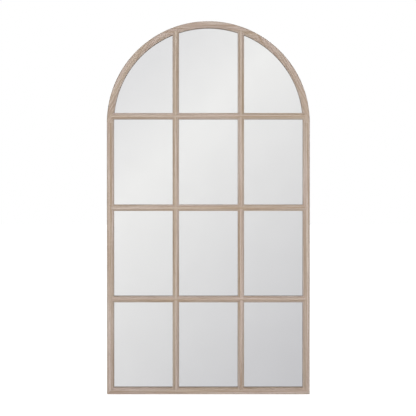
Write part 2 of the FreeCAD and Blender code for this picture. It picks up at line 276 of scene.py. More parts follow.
# %% Floor
floor_reach = 20  # metres to each side
floor_mesh = bpy.data.meshes.new("floor")
bm = bmesh.new()
bmesh.ops.create_grid(bm, x_segments=1, y_segments=1, size=floor_reach)
bm.to_mesh(floor_mesh)
bm.free()
floor = bpy.data.objects.new("floor", floor_mesh)
bpy.context.scene.collection.objects.link(floor)
floor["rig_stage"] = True

floor_paint, tree, shader = new_material("matt_white_floor_paint")
shader.inputs["Base Color"].default_value = linear("#E6E6E4")
shader.inputs["Roughness"].default_value = 0.9
shader.inputs["Specular IOR Level"].default_value = 0.1
place = add(tree, "TexCoord").outputs["Object"]
away = add(tree, "VectorMath", {0: place}, operation="LENGTH")
near, far = 0.8, 2.5  # the lamps' light on the floor fades out between these distances
near_lift, far_lift = 0.71, 0.95
lift = add(
    tree, "MapRange",
    {"Value": away.outputs["Value"], "From Min": near, "From Max": far,
     "To Min": near_lift, "To Max": far_lift},
)
from_camera, from_shiny = ray_kinds(tree)
lift = add(tree, "Math", {0: from_camera, 1: lift.outputs[0]}, operation="MULTIPLY")
glow = add(tree, "Emission", {"Strength": lift.outputs[0]})
lit = add(tree, "AddShader", {0: shader.outputs[0], 1: glow.outputs[0]})
clear = add(tree, "BsdfTransparent")
both = add(tree, "MixShader", {0: from_shiny, 1: lit.outputs[0], 2: clear.outputs[0]})
tree.links.new(both.outputs[0], tree.nodes["Material Output"].inputs["Surface"])
floor_mesh.materials.append(floor_paint)
print("floor:", [round(side, 1) for side in floor.dimensions[:2]], "m")

# %% [markdown]
# ## Washed wood
# Straight-grained softwood, planed into mouldings, brushed along the grain and wiped with a thin greyish
# whitewash. The eye sees long pale and tan streaks along each stick, fine darker grain lines, a little
# more white where the wash stayed in the pores, and bare warmer wood where an edge was rubbed.
#
# The pattern lives in the wood, not on it: each stick carries its own coordinates in an attribute named
# grain (along, across, deep, in metres), turned with the stick. So an arch segment, which is sawn from a
# straight board, shows straight grain that runs out over its curved edges, as the real ones do.
# Growth rings lie 3 mm apart round a pith that is somewhere beside the stick, so each stick cuts them
# its own way. Real fibres and pores are 0.1 to 0.2 mm wide, too fine to show: they are drawn 0.7 and
# 0.45 mm wide.

# %% Washed wood
washed_wood, tree, shader = new_material("whitewashed_straight_grained_softwood_brushed")
grain = add(tree, "Attribute", attribute_name="grain").outputs["Vector"]
rubbed = add(tree, "Attribute", attribute_name="rubbed").outputs["Fac"]
features = {  # length along the grain and width across it, in mm, and how much finer detail each holds
    "boards": (420, 12, 1),
    "streaks": (260, 3.6, 2),
    "fibres": (45, 0.7, 2),
    "pores": (7, 0.45, 0),
    "patches": (60, 12, 3),
}
noise = {}
for name, (along, across, detail) in features.items():
    scale = (1 / (along * mm), 1 / (across * mm), 1 / (across * mm))
    sized = add(tree, "Mapping", {"Vector": grain, "Scale": scale})
    texture = add(tree, "TexNoise", {"Vector": sized.outputs[0], "Scale": 1, "Detail": detail})
    noise[name] = texture.outputs["Fac"]

ring_width = 3.0 * mm
stretch = 12  # the rings waver this much more slowly along the stick than across it
trunk = add(tree, "Mapping", {"Vector": grain, "Scale": (1 / stretch, 1, 1)})
rings = add(
    tree, "TexWave",  # at a scale of 1 its rings are pi / 10 apart
    {"Vector": trunk.outputs[0], "Scale": math.pi / 10 / ring_width, "Distortion": 7, "Detail": 2,
     "Detail Scale": 0.2},
    wave_type="RINGS", rings_direction="X", wave_profile="SAW",
)
late = add(tree, "Math", {0: rings.outputs["Fac"], 1: 3}, operation="POWER")  # dark only at a ring's end

board_tones = [(0.36, "#C4B4A4"), (0.50, "#C7B8AD"), (0.64, "#CBBBB3")]
tone = add(tree, "ValToRGB", {"Fac": noise["boards"]}, stops=board_tones)
streak_tones = [(0.38, "#D8CDC0"), (0.50, "#F2EDE9"), (0.60, "#FFFFFF")]
streak = add(tree, "ValToRGB", {"Fac": noise["streaks"]}, stops=streak_tones)
colour = add(
    tree, "Mix", {0: 1.0, 6: tone.outputs[0], 7: streak.outputs[0]}, data_type="RGBA", blend_type="MULTIPLY"
)
summer = add(tree, "Math", {0: late.outputs[0], 1: 0.38}, operation="MULTIPLY")
fibre = add(tree, "MapRange", {"Value": noise["fibres"], "From Min": 0.52, "From Max": 0.30, "To Max": 0.55})
wash = add(tree, "MapRange", {"Value": noise["fibres"], "From Min": 0.50, "From Max": 0.72, "To Max": 0.60})
wash = add(tree, "Math", {0: wash.outputs[0], 1: noise["patches"]}, operation="MULTIPLY")
pore = add(tree, "MapRange", {"Value": noise["pores"], "From Min": 0.34, "From Max": 0.24, "To Max": 0.6})
bare = add(tree, "Math", {0: rubbed, 1: noise["patches"]}, operation="MULTIPLY")
layers = [  # how strongly each is laid over what is below it, and its colour
    (summer, "#9C8676"), (fibre, "#A08F7E"), (wash, "#DAD2CC"), (pore, "#7F6E5E"), (bare, "#A6937E"),
]
for share, paint in layers:
    inputs = {0: share.outputs[0], 6: colour.outputs[2], 7: linear(paint)}
    colour = add(tree, "Mix", inputs, data_type="RGBA")
tree.links.new(colour.outputs[2], shader.inputs["Base Color"])
dull = add(tree, "MapRange", {"Value": noise["fibres"], "To Min": 0.55, "To Max": 0.80})
tree.links.new(dull.outputs[0], shader.inputs["Roughness"])
shader.inputs["Specular IOR Level"].default_value = 0.35
relief = add(tree, "Math", {0: noise["fibres"], 1: 0.6, 2: late.outputs[0]}, operation="MULTIPLY_ADD")
relief = add(tree, "Math", {0: relief.outputs[0], 1: pore.outputs[0]}, operation="SUBTRACT")
bump = add(tree, "Bump", {"Strength": 0.6, "Distance": 0.2 * mm, "Height": relief.outputs[0]})
tree.links.new(bump.outputs[0], shader.inputs["Normal"])
print("washed wood:", len(tree.nodes), "nodes")

# %% [markdown]
# ## Mirror
# Float glass with a coat of silver on its back. The glass is clear and very smooth, with the faint long
# waves that floating leaves. The silver is a perfect mirror but for a slight warm loss. Drawn as two
# layers, as the real one is, the bars' reflections stand off from the bars by the glass thickness.

# %% Glass and silver
float_glass, tree, shader = new_material("clear_float_glass")
shader.inputs["Base Color"].default_value = linear("#FDFDFD")
shader.inputs["Roughness"].default_value = 0.0
shader.inputs["IOR"].default_value = 1.52
shader.inputs["Transmission Weight"].default_value = 1.0
place = add(tree, "TexCoord").outputs["Object"]
waves = add(tree, "TexNoise", {"Vector": place, "Scale": 1 / (180 * mm), "Detail": 1})
bump = add(tree, "Bump", {"Strength": 0.05, "Distance": 0.02 * mm, "Height": waves.outputs["Fac"]})
tree.links.new(bump.outputs[0], shader.inputs["Normal"])

silver_coat, tree, shader = new_material("silver_coat_wet_deposited")
shader.inputs["Metallic"].default_value = 1.0
place = add(tree, "TexCoord").outputs["Object"]
cloud = add(tree, "TexNoise", {"Vector": place, "Scale": 1 / (90 * mm), "Detail": 3})
shade = add(tree, "ValToRGB", {"Fac": cloud.outputs["Fac"]}, stops=[(0.3, "#F8F8F9"), (0.7, "#FAFAFB")])
tree.links.new(shade.outputs[0], shader.inputs["Base Color"])
haze = add(tree, "MapRange", {"Value": cloud.outputs["Fac"], "To Min": 0.0, "To Max": 0.012})
tree.links.new(haze.outputs[0], shader.inputs["Roughness"])
print("mirror:", len(float_glass.node_tree.nodes), "and", len(tree.nodes), "nodes")

# %% [markdown]
# ## Materials of the back
# Hardboard is wood fibre pressed hot: brown, smooth and slightly mottled, with dark specks. Noise of two
# sizes gives the fibres and the mottling, and the specks are the middles of Voronoi cells.

# %% Hardboard
hardboard, tree, shader = new_material("brown_hardboard_hot_pressed")
place = add(tree, "TexCoord").outputs["Object"]
fibres = add(tree, "TexNoise", {"Vector": place, "Scale": 1 / (2.5 * mm), "Detail": 4, "Roughness": 0.7})
mottle = add(tree, "TexNoise", {"Vector": place, "Scale": 1 / (35 * mm), "Detail": 4, "Roughness": 0.6})
specks = add(tree, "TexVoronoi", {"Vector": place, "Scale": 1 / (7 * mm)})
base = add(tree, "ValToRGB", {"Fac": mottle.outputs["Fac"]}, stops=[(0.3, "#7C5A40"), (0.7, "#8C684A")])
fleck = add(tree, "ValToRGB", {"Fac": fibres.outputs["Fac"]}, stops=[(0.3, "#B8A088"), (0.7, "#FFFFFF")])
colour = add(
    tree, "Mix", {0: 0.7, 6: base.outputs[0], 7: fleck.outputs[0]}, data_type="RGBA", blend_type="MULTIPLY"
)
speck = add(
    tree, "MapRange",
    {"Value": specks.outputs["Distance"], "From Min": 0.05, "From Max": 0.14, "To Min": 0.6, "To Max": 0.0},
)
colour = add(tree, "Mix", {0: speck.outputs[0], 6: colour.outputs[2], 7: linear("#4A3222")}, data_type="RGBA")
tree.links.new(colour.outputs[2], shader.inputs["Base Color"])
shader.inputs["Roughness"].default_value = 0.5
bump = add(tree, "Bump", {"Strength": 0.25, "Distance": 0.1 * mm, "Height": fibres.outputs["Fac"]})
tree.links.new(bump.outputs[0], shader.inputs["Normal"])
print("hardboard:", len(tree.nodes), "nodes")

# %% [markdown]
# The hangers are zinc-plated, the points are bright rolled strip, and nails and pins are blued. They
# differ only in colour, gloss and how fine their rolling lines are, so one function makes all three.

# %% Metals
def sheet_metal(name, light, dark, roughness, grain_mm):
    """A plated or rolled steel: clouds between two tones, fine rolling lines in its gloss."""
    length = 8  # of a rolling line, against its width
    glossier, duller = 0.08, 0.12
    material, tree, shader = new_material(name)
    shader.inputs["Metallic"].default_value = 1.0
    place = add(tree, "TexCoord").outputs["Object"]
    clouds = add(tree, "TexNoise", {"Vector": place, "Scale": 1 / (6 * mm), "Detail": 3})
    tone = add(tree, "ValToRGB", {"Fac": clouds.outputs["Fac"]}, stops=[(0.3, dark), (0.7, light)])
    tree.links.new(tone.outputs[0], shader.inputs["Base Color"])
    fineness = [1 / (grain_mm * k * mm) for k in (1, 1, length)]
    rolled = add(tree, "Mapping", {"Vector": place, "Scale": fineness})
    scratches = add(tree, "TexNoise", {"Vector": rolled.outputs[0], "Scale": 1, "Detail": 2})
    gloss = add(
        tree, "MapRange",
        {"Value": scratches.outputs["Fac"], "To Min": roughness - glossier, "To Max": roughness + duller},
    )
    tree.links.new(gloss.outputs[0], shader.inputs["Roughness"])
    bump = add(tree, "Bump", {"Strength": 0.05, "Distance": 0.02 * mm, "Height": scratches.outputs["Fac"]})
    tree.links.new(bump.outputs[0], shader.inputs["Normal"])
    return material


zinc = sheet_metal("zinc_plated_steel_bright_dipped", "#D5D8DC", "#B4B8BE", 0.30, 0.4)
bright_strip = sheet_metal("bright_steel_strip_cold_rolled", "#C9C9CA", "#A3A4A6", 0.28, 0.3)
blued_steel = sheet_metal("blued_spring_steel_oil_hardened", "#6D7078", "#4B4E56", 0.38, 0.3)
print("metals:", [metal.name for metal in (zinc, bright_strip, blued_steel)])

# %% [markdown]
# The pads are soft black rubber with the fine matt skin of a blasted mould. The dowels are beech with
# small darker flecks. They hide inside the joints, so their material is kept simple.

# %% Rubber and beech
rubber, tree, shader = new_material("black_rubber_moulded_matt")
place = add(tree, "TexCoord").outputs["Object"]
skin = add(tree, "TexNoise", {"Vector": place, "Scale": 1 / (0.5 * mm), "Detail": 3})
tone = add(tree, "ValToRGB", {"Fac": skin.outputs["Fac"]}, stops=[(0.3, "#262626"), (0.7, "#343433")])
tree.links.new(tone.outputs[0], shader.inputs["Base Color"])
shader.inputs["Roughness"].default_value = 0.75
bump = add(tree, "Bump", {"Strength": 0.3, "Distance": 0.05 * mm, "Height": skin.outputs["Fac"]})
tree.links.new(bump.outputs[0], shader.inputs["Normal"])

beech, tree, shader = new_material("beech_turned_dowel_rod")
place = add(tree, "TexCoord").outputs["Object"]
flecks = add(tree, "TexNoise", {"Vector": place, "Scale": 1 / (1.5 * mm), "Detail": 3})
tone = add(tree, "ValToRGB", {"Fac": flecks.outputs["Fac"]}, stops=[(0.35, "#B98F66"), (0.65, "#D0A87E")])
tree.links.new(tone.outputs[0], shader.inputs["Base Color"])
shader.inputs["Roughness"].default_value = 0.6
print("materials so far:", len(bpy.data.materials))

# %% [markdown]
# ## Tools for the wood
# Each stick starts as the outline of its section: a few corner vertices, then each corner is rounded by
# a vertex bevel, as a plane or sandpaper does. The outline is pushed along the stick (extrude) or swung
# round the centre of the arch (spin), the ends are trimmed by a plane (bisect) and closed. Slots and
# recesses are cut by solids of their own shape (boolean), which are thrown away afterwards.

# %% Section outline and closing
same_place = 0.001 * mm  # vertices nearer than this are one


def section(bm, corners, place):
    """The outline of a moulding as a loop of edges. corners: (sideways, depth, rounding, steps)."""
    verts = [bm.verts.new(place(side, deep)) for side, deep, _, _ in corners]
    face = bm.faces.new(verts)
    for vert, (_, _, rounding, steps) in zip(verts, corners):
        if rounding:
            bmesh.ops.bevel(
                bm, geom=[vert], offset=rounding, offset_type="OFFSET", segments=steps, profile=0.5,
                affect="VERTICES", material=-1,
            )
    bmesh.ops.delete(bm, geom=bm.faces[:], context="FACES_ONLY")
    return bm.edges[:]


def push(bm, edges, by):
    """Extrudes edges by a vector and gives the edges at the far end."""
    made = bmesh.ops.extrude_edge_only(bm, edges=edges)["geom"]
    moved = [v for v in made if isinstance(v, bmesh.types.BMVert)]
    bmesh.ops.translate(bm, verts=moved, vec=by)
    return [e for e in made if isinstance(e, bmesh.types.BMEdge) and all(v in moved for v in e.verts)]


def swing(bm, edges, centre, axis, degrees, steps):
    """Spins edges round an axis and gives the edges at the far end."""
    verts = list({v for e in edges for v in e.verts})
    made = bmesh.ops.spin(
        bm, geom=verts + edges, cent=centre, axis=axis, angle=math.radians(degrees), steps=steps,
        use_duplicate=False,
    )["geom_last"]
    return [e for e in made if isinstance(e, bmesh.types.BMEdge)]


def close(bm):
    """Closes the open ends and turns all faces outwards."""
    open_edges = [e for e in bm.edges if len(e.link_faces) == 1]
    caps = bmesh.ops.holes_fill(bm, edges=open_edges, sides=0)["faces"]
    bmesh.ops.recalc_face_normals(bm, faces=bm.faces[:])
    return caps


def trim(bm, point, normal):
    """Saws off what lies beyond a plane, on the side that its normal points to."""
    geom = bm.verts[:] + bm.edges[:] + bm.faces[:]
    bmesh.ops.bisect_plane(bm, geom=geom, plane_co=point, plane_no=normal, clear_outer=True)


def finished(bm, name, material, smooth_degrees=50):
    """Makes the object of a finished bmesh, smooth but for its sharp edges."""
    mesh = bpy.data.meshes.new(name)
    bm.to_mesh(mesh)
    bm.free()
    mesh.shade_smooth()
    mesh.set_sharp_from_angle(angle=math.radians(smooth_degrees))
    mesh.materials.append(material)
    piece = bpy.data.objects.new(name, mesh)
    bpy.context.scene.collection.objects.link(piece)
    return piece


def weigh_normals(piece):
    """Keeps flats flat where a small rounding meets them."""
    weigh = piece.modifiers.new("even_flats", "WEIGHTED_NORMAL")
    weigh.keep_sharp = True
    weigh.weight = 90


def cut(piece, cutters):
    """Subtracts the cutters from a piece one after the other, for good."""
    for cutter in cutters:
        step = piece.modifiers.new("cut", "BOOLEAN")
        step.operation = "DIFFERENCE"
        step.solver = "MANIFOLD"
        step.object = cutter
        bpy.context.view_layer.update()
        evaluated = piece.evaluated_get(bpy.context.evaluated_depsgraph_get())
        mesh = bpy.data.meshes.new_from_object(evaluated)
        piece.modifiers.clear()
        piece.data = mesh


def discard(cutters):
    """Throws cutters away."""
    for cutter in cutters:
        bpy.data.objects.remove(cutter)


tools = (section, push, swing, close, trim, finished, weigh_normals, cut, discard)
print("tools:", [tool.__name__ for tool in tools])

# %% [markdown]
# The grain coordinates turn with the stick. Each stick is shifted to its own place in the endless
# pattern by a seeded draw, as each is sawn from another board. The second attribute, rubbed, is 1 on
# the front arrises and falls to 0 where the rubbed strip ends. A value held by vertices is blended over
# each face, so the section gets extra points there, or the blend would run over the whole flat.

# %% Grain and rubbed edges
draw = random.Random(16)
pith_near, pith_far = 45, 110  # how far the stick may lie from the pith, in mm
pattern_reach = 20  # how far along the pattern it may lie, in metres
eased = 0.35 * mm
rub_width = 1.2 * mm


def give_grain(piece, degrees):
    """Writes the grain coordinates: degrees is the direction of the grain, from +X towards +Z."""
    turn = Matrix.Rotation(math.radians(degrees), 4, "Y")
    from_pith = draw.uniform(pith_near, pith_far) * mm
    around = draw.uniform(0, math.tau)
    along = draw.uniform(-pattern_reach, pattern_reach)
    board = Vector((along, from_pith * math.sin(around), from_pith * math.cos(around)))
    verts = piece.data.vertices
    middle = sum((vert.co for vert in verts), Vector()) / len(verts)
    values = []
    for vert in verts:
        point = turn @ (vert.co - middle) + board
        values += [point.x, point.z, point.y]
    made = piece.data.attributes.new("grain", "FLOAT_VECTOR", "POINT")
    made.data.foreach_set("vector", values)


def give_rubbing(piece, side_of, arrises):
    """Writes how rubbed each vertex is: side_of(point) gives its sideways place in the section."""
    values = []
    for vert in piece.data.vertices:
        nearest = min(
            math.hypot(side_of(vert.co) - side, vert.co.y - deep) for side, deep in arrises
        )
        values.append(max(0.0, 1 - nearest / rub_width))
    made = piece.data.attributes.new("rubbed", "FLOAT", "POINT")
    made.data.foreach_set("value", values)


def with_margins(corners):
    """Adds a point at the edge of the rubbed strip on each side of every eased arris."""
    made = []
    for here, there in zip(corners, corners[1:] + corners[:1]):
        made.append(here)
        start = Vector(here[:2])
        run = Vector(there[:2]) - start
        if run.length > 2.5 * rub_width:  # wide enough for a strip at both ends
            for corner, along in ((here, rub_width), (there, run.length - rub_width)):
                if 0 < corner[2] <= eased:
                    made.append((*(start + run.normalized() * along), 0, 0))
    return made


print("arrises are eased", round(eased / mm, 2), "mm and rubbed", round(rub_width / mm, 2), "mm wide")

# %% [markdown]
# ## The frame
# One moulding makes the whole frame. Seen in section from the outer edge: a 4 mm round-over, a flat
# face, a bevel that falls towards the glass, a short wall, the ledge that the glass lies on, and the
# rebate behind it. Sideways is counted from the outer edge inwards.

# %% Section of the frame moulding
flat_end = frame_face - frame_bevel
round_over = 4 * mm
frame_corners = with_margins([
    (0, front, round_over, 6),
    (flat_end, front, eased, 2),
    (frame_face, front + bevel_drop, eased, 2),
    (frame_face, wood_back, 0.2 * mm, 1),
    (frame_face - ledge, wood_back, 0, 0),
    (frame_face - ledge, back, eased, 1),
    (0, back, 1 * mm, 1),
])
rubbed_round = 0.15 * round_over  # the middle of the round-over is rubbed only a little
frame_arrises = [
    (rubbed_round, front + rubbed_round), (flat_end, front), (frame_face, front + bevel_drop),
]
joint_line = 0.12 * mm  # the ends are eased this much, which leaves a hairline at each joint


def ease_ends(bm, caps):
    """Takes the sharp edge off the ends of a stick."""
    edges = {e for face in caps for e in face.edges}
    bmesh.ops.bevel(
        bm, geom=list(edges), offset=joint_line, offset_type="OFFSET", segments=1, profile=0.5,
        affect="EDGES", clamp_overlap=True, material=-1,
    )


wood_pieces = []


def wooden(piece, node, degrees, side_of, arrises):
    """Finishes a stick: grain, rubbed edges, its body and the CAD piece it stands for."""
    give_grain(piece, degrees)
    give_rubbing(piece, side_of, arrises)
    weigh_normals(piece)
    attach(piece, "mirror")
    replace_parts(piece, node)
    wood_pieces.append(piece)


print("section of the frame:", len(frame_corners), "corners and points")

# %% [markdown]
# A V-nail is a bent strip of steel that is pressed into the back of a mitre and draws both sticks
# together. Each leg needs a slot in its own stick, which is cut by a plain box.

# %% Cutters for the V-nail slots
slot_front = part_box("corner_v_nails")[0].y - 0.05 * mm  # a little deeper than the nail reaches
over = 1 * mm  # cutters reach this far past the surface that they cut


def block(name, low, high):
    """A sharp box between two corners, for cutting. It is removed again after use."""
    bm = bmesh.new()
    bmesh.ops.create_cube(bm, size=1)
    size = [h - l for l, h in zip(low, high)]
    bmesh.ops.scale(bm, verts=bm.verts[:], vec=size)
    bmesh.ops.translate(bm, verts=bm.verts[:], vec=[(l + h) / 2 for l, h in zip(low, high)])
    return finished(bm, name, washed_wood)


slot_length, slot_half = 4.05 * mm, 0.35 * mm
nail_spacing = 0.375 * (frame_face - ledge)  # two nails over the outer three quarters of the wood
past = 0.9 * mm  # each slot runs on past the mitre, so that no corner of it lies on the mitre itself
stile_slots, rail_slots = {-1: [], 1: []}, []
for side in (-1, 1):
    for inset in (nail_spacing, 2 * nail_spacing):
        x = side * (half_width - inset)
        outward = x + side * slot_length
        inward = x - side * past
        stile_slots[side].append(block(
            "slot", (min(inward, outward), slot_front, inset - slot_half),
            (max(inward, outward), back + over, inset + slot_half),
        ))
        rail_slots.append(block(
            "slot", (x - slot_half, slot_front, inset - slot_length),
            (x + slot_half, back + over, inset + past),
        ))
print("V-nail slots:", len(rail_slots), "in the rail,", len(stile_slots[1]), "in each stile")

# %% [markdown]
# The two stiles stand up to the spring of the arch and meet the bottom rail in 45 degree mitres. Both
# mitre planes pass through the outer corner of the frame. A stick is made too long and sawn by the plane,
# as it is in a mitre box.

# %% Stiles and bottom rail
spare = 5 * mm
for side, node in ((-1, "left_stile"), (1, "right_stile")):
    bm = bmesh.new()
    outline = section(bm, frame_corners, lambda s, y: (side * (half_width - s), y, -spare))
    push(bm, outline, (0, 0, spring + spare))
    trim(bm, (side * half_width, 0, 0), (-side, 0, -1))
    ease_ends(bm, close(bm))
    stile = finished(bm, node + "_wood", washed_wood)
    cut(stile, stile_slots[side])
    wooden(stile, node, 90, lambda p: half_width - abs(p.x), frame_arrises)

bm = bmesh.new()
outline = section(bm, frame_corners, lambda s, y: (-half_width, y, s))
push(bm, outline, (2 * half_width, 0, 0))
trim(bm, (-half_width, 0, 0), (-1, 0, 1))
trim(bm, (half_width, 0, 0), (1, 0, 1))
ease_ends(bm, close(bm))
rail = finished(bm, "bottom_rail_wood", washed_wood)
cut(rail, rail_slots)
wooden(rail, "bottom_rail", 0, lambda p: p.z, frame_arrises)
discard(rail_slots + stile_slots[-1] + stile_slots[1])
print("stiles and rail:", [len(p.data.polygons) for p in wood_pieces], "faces")

# %% [markdown]
# The head is three segments of 60 degrees, spun from the same section. Each is sawn from a straight
# board, so its grain runs along its chord: level in the crown, and at 60 degrees in the side segments.

# %% Arch segments
segment_degrees, steps_per_segment = 60, 36
for number, node in enumerate(("arch_right_segment", "arch_crown_segment", "arch_left_segment")):
    bm = bmesh.new()
    section(bm, frame_corners, lambda s, y: (half_width - s, y, spring))
    start = Matrix.Rotation(math.radians(-segment_degrees * number), 4, "Y")
    bmesh.ops.rotate(bm, verts=bm.verts[:], cent=arch_centre, matrix=start)
    bmesh.ops.spin(
        bm, geom=bm.verts[:] + bm.edges[:], cent=arch_centre, axis=(0, -1, 0),
        angle=math.radians(segment_degrees), steps=steps_per_segment, use_duplicate=False,
    )
    ease_ends(bm, close(bm))
    segment = finished(bm, node + "_wood", washed_wood)
    wooden(
        segment, node, segment_degrees * (number - 1),
        lambda p: half_width - (Vector((p.x, 0, p.z)) - arch_centre).length, frame_arrises,
    )
print("arch:", [len(p.data.polygons) for p in wood_pieces[3:]], "faces each")

# %% [markdown]
# ## The glazing bars
# A bar has a flat face and a bevel on both sides. Its ends are scribed: cut to sit over the frame's
# bevel, so that its flat runs into the frame's flat. The cutters for that are sharp solids with the
# frame's bevel and wall, pushed and spun as the frame itself is, and thicker outwards and to the front.

# %% Cutters for scribing the bar ends
beyond, proud = -20 * mm, front - 2 * mm
scribe = [
    (flat_end, proud, 0, 0), (flat_end, front, 0, 0),
    (frame_face, front + bevel_drop, 0, 0), (frame_face, back, 0, 0),
    (beyond, back, 0, 0), (beyond, proud, 0, 0),
]
scribers = []
for side in (-1, 1):
    bm = bmesh.new()
    push(bm, section(bm, scribe, lambda s, y: (side * (half_width - s), y, 0)), (0, 0, spring))
    close(bm)
    scribers.append(finished(bm, "stile_scriber", washed_wood))
bm = bmesh.new()
push(bm, section(bm, scribe, lambda s, y: (-half_width, y, s)), (2 * half_width, 0, 0))
close(bm)
scribers.append(finished(bm, "rail_scriber", washed_wood))
bm = bmesh.new()
section(bm, scribe, lambda s, y: (half_width - s, y, spring))
bmesh.ops.spin(
    bm, geom=bm.verts[:] + bm.edges[:], cent=arch_centre, axis=(0, -1, 0), angle=math.pi,
    steps=3 * steps_per_segment, use_duplicate=False,
)
close(bm)
scribers.append(finished(bm, "arch_scriber", washed_wood))
print("scribers:", [scriber.name for scriber in scribers])

# %% [markdown]
# Where two bars cross, half of each is cut away, and the front halves meet in mitres, so that the bevels
# turn the corner as in a window. Seen from the front, the level bar keeps a bow tie of the crossing and
# the upright bar the wedges above and below it. Each is the cutter for the other bar.

# %% Cutters for the crossings
bar_xs = [sum(corner.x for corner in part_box("muntin_vertical_" + n)) / 2 for n in ("left", "right")]
bar_zs = [
    sum(corner.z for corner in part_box("muntin_horizontal_" + n)) / 2 for n in ("bottom", "middle", "top")
]
flat_half = bar_half - bar_bevel
lap = (front + glass_low.y) / 2  # both bars are halved at this depth
hairline = 0.05 * mm  # the gap between the mitred halves


def slab(name, outline, low_y, high_y):
    """A flat outline of (x, z) points, pushed back from low_y to high_y."""
    bm = bmesh.new()
    verts = [bm.verts.new((x, low_y, z)) for x, z in outline]
    bm.faces.new(verts)
    edges = bm.edges[:]
    bmesh.ops.delete(bm, geom=bm.faces[:], context="FACES_ONLY")
    push(bm, edges, (0, high_y - low_y, 0))
    close(bm)
    return finished(bm, name, washed_wood)


def wedge(x, z, side):
    """The upright bar's share in front: from its full width at the crossing's edge to its flat."""
    wide, narrow = bar_half + hairline, flat_half + hairline
    far, near = z + side * (bar_half + over), z + side * flat_half
    outline = [
        (x - wide - over, far), (x + wide + over, far), (x + narrow, near), (x - narrow, near),
    ]
    return slab("wedge", outline, front - over, lap)


def bow_tie(x, z):
    """The level bar's share in front: all of the square but the two wedges."""
    h, f, end = bar_half, flat_half, bar_half + over
    outline = [
        (-end, -h), (-h, -h), (-f, -f), (f, -f), (h, -h), (end, -h),
        (end, h), (h, h), (f, f), (-f, f), (-h, h), (-end, h),
    ]
    return slab("bow_tie", [(x + a, z + b) for a, b in outline], front - over, lap)


print("upright bars at", [round(x / mm, 1) for x in bar_xs], "mm")
print("level bars at", [round(z / mm, 1) for z in bar_zs], "mm")

# %% [markdown]
# All five bars are one moulding. Each is made too long, and the scribers cut it back. The uprights give
# way to the bow ties in front, the level bars to the wedges in front and to the whole uprights behind.

# %% Bars
bar_corners = with_margins([
    (-bar_half, wood_back, 0, 0),
    (-bar_half, front + bevel_drop, eased, 2),
    (-flat_half, front, eased, 2),
    (flat_half, front, eased, 2),
    (bar_half, front + bevel_drop, eased, 2),
    (bar_half, wood_back, 0, 0),
])
bar_arrises = [
    (s * w, y) for s in (-1, 1) for w, y in ((flat_half, front), (bar_half, front + bevel_drop))
]


def make_bar(node, place, start_to_end, shares, degrees, side_of):
    """Pushes a bar, cuts its ends and its crossings, and finishes it. The shares are thrown away."""
    bm = bmesh.new()
    push(bm, section(bm, bar_corners, place), start_to_end)
    close(bm)
    bar = finished(bm, node + "_wood", washed_wood)
    cut(bar, scribers + shares)
    discard(shares)
    wooden(bar, node, degrees, side_of, bar_arrises)
    print(node, len(bar.data.polygons), "faces")


foot, crown, aside = 5 * mm, 10 * mm, 2 * mm  # uncut bars end this far from the frame's outer edge
for x, name in zip(bar_xs, ("left", "right")):
    make_bar(
        "muntin_vertical_" + name, lambda s, y: (x + s, y, foot), (0, 0, height - foot - crown),
        [bow_tie(x, z) for z in bar_zs], 90, lambda p: p.x - x,
    )
for z, name in zip(bar_zs, ("bottom", "middle", "top")):
    low, high = z - bar_half - over, z + bar_half + over
    make_bar(
        "muntin_horizontal_" + name, lambda s, y: (-half_width + aside, y, z + s),
        (2 * (half_width - aside), 0, 0),
        [wedge(x, z, side) for x in bar_xs for side in (-1, 1)]
        + [block("half", (x - bar_half, lap, low), (x + bar_half, back, high)) for x in bar_xs],
        0, lambda p: p.z - z,
    )
discard(scribers)

# %% [markdown]
# ## Mirror sheet
# The CAD glass has the right shape and keeps it, with the glass material. The silver is a new thin
# sheet a hair inside its back face, so that no air lies between glass and silver. Its outline is a
# vertex spun round the arch, with two corners for the foot.

# %% Silver coat
def dress(node, material):
    """Gives a CAD piece a new material in all its slots."""
    for slot in nodes[node].material_slots:
        slot.material = material


def arched_outline(bm, inset, y, steps):
    """A closed loop of edges with the outline of the mirror, drawn in by an inset."""
    radius = half_width - inset
    first = bm.verts.new((radius, y, spring))
    bmesh.ops.spin(
        bm, geom=[first], cent=arch_centre, axis=(0, -1, 0), angle=math.pi, steps=steps,
        use_duplicate=False,
    )
    ends = [v for v in bm.verts if len(v.link_edges) == 1]
    ends.sort(key=lambda v: v.co.x)
    feet = [bm.verts.new((side * radius, y, inset)) for side in (-1, 1)]
    for a, b in ((ends[0], feet[0]), (feet[0], feet[1]), (feet[1], ends[1])):
        bm.edges.new((a, b))
    return bm.edges[:]


coat_inset = half_width - glass_high.x + 0.1 * mm
coat_front, coat_thickness = glass_high.y - 0.08 * mm, 0.05 * mm
bm = bmesh.new()
push(bm, arched_outline(bm, coat_inset, coat_front, 120), (0, coat_thickness, 0))
close(bm)
silver = finished(bm, "mirror_silver_coat", silver_coat)
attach(silver, "mirror")
for node, material in (
    ("mirror_glass", float_glass), ("backboard", hardboard), ("framers_points", bright_strip),
    ("corner_v_nails", blued_steel), ("tenon_pins", blued_steel), ("arch_dowels", beech),
):
    dress(node, material)
print(silver.name, round(silver.dimensions.y / mm, 3), "mm thick,", len(silver.data.polygons), "faces")

# %% [markdown]
# ## D-rings
# A D-ring is bent from a length of round wire: a straight bar for the eye, two tight corners, two legs
# and a half-round bow. A circle is pushed and spun along that way and closes on itself. It rides on its
# own body, so it swings about the bar.

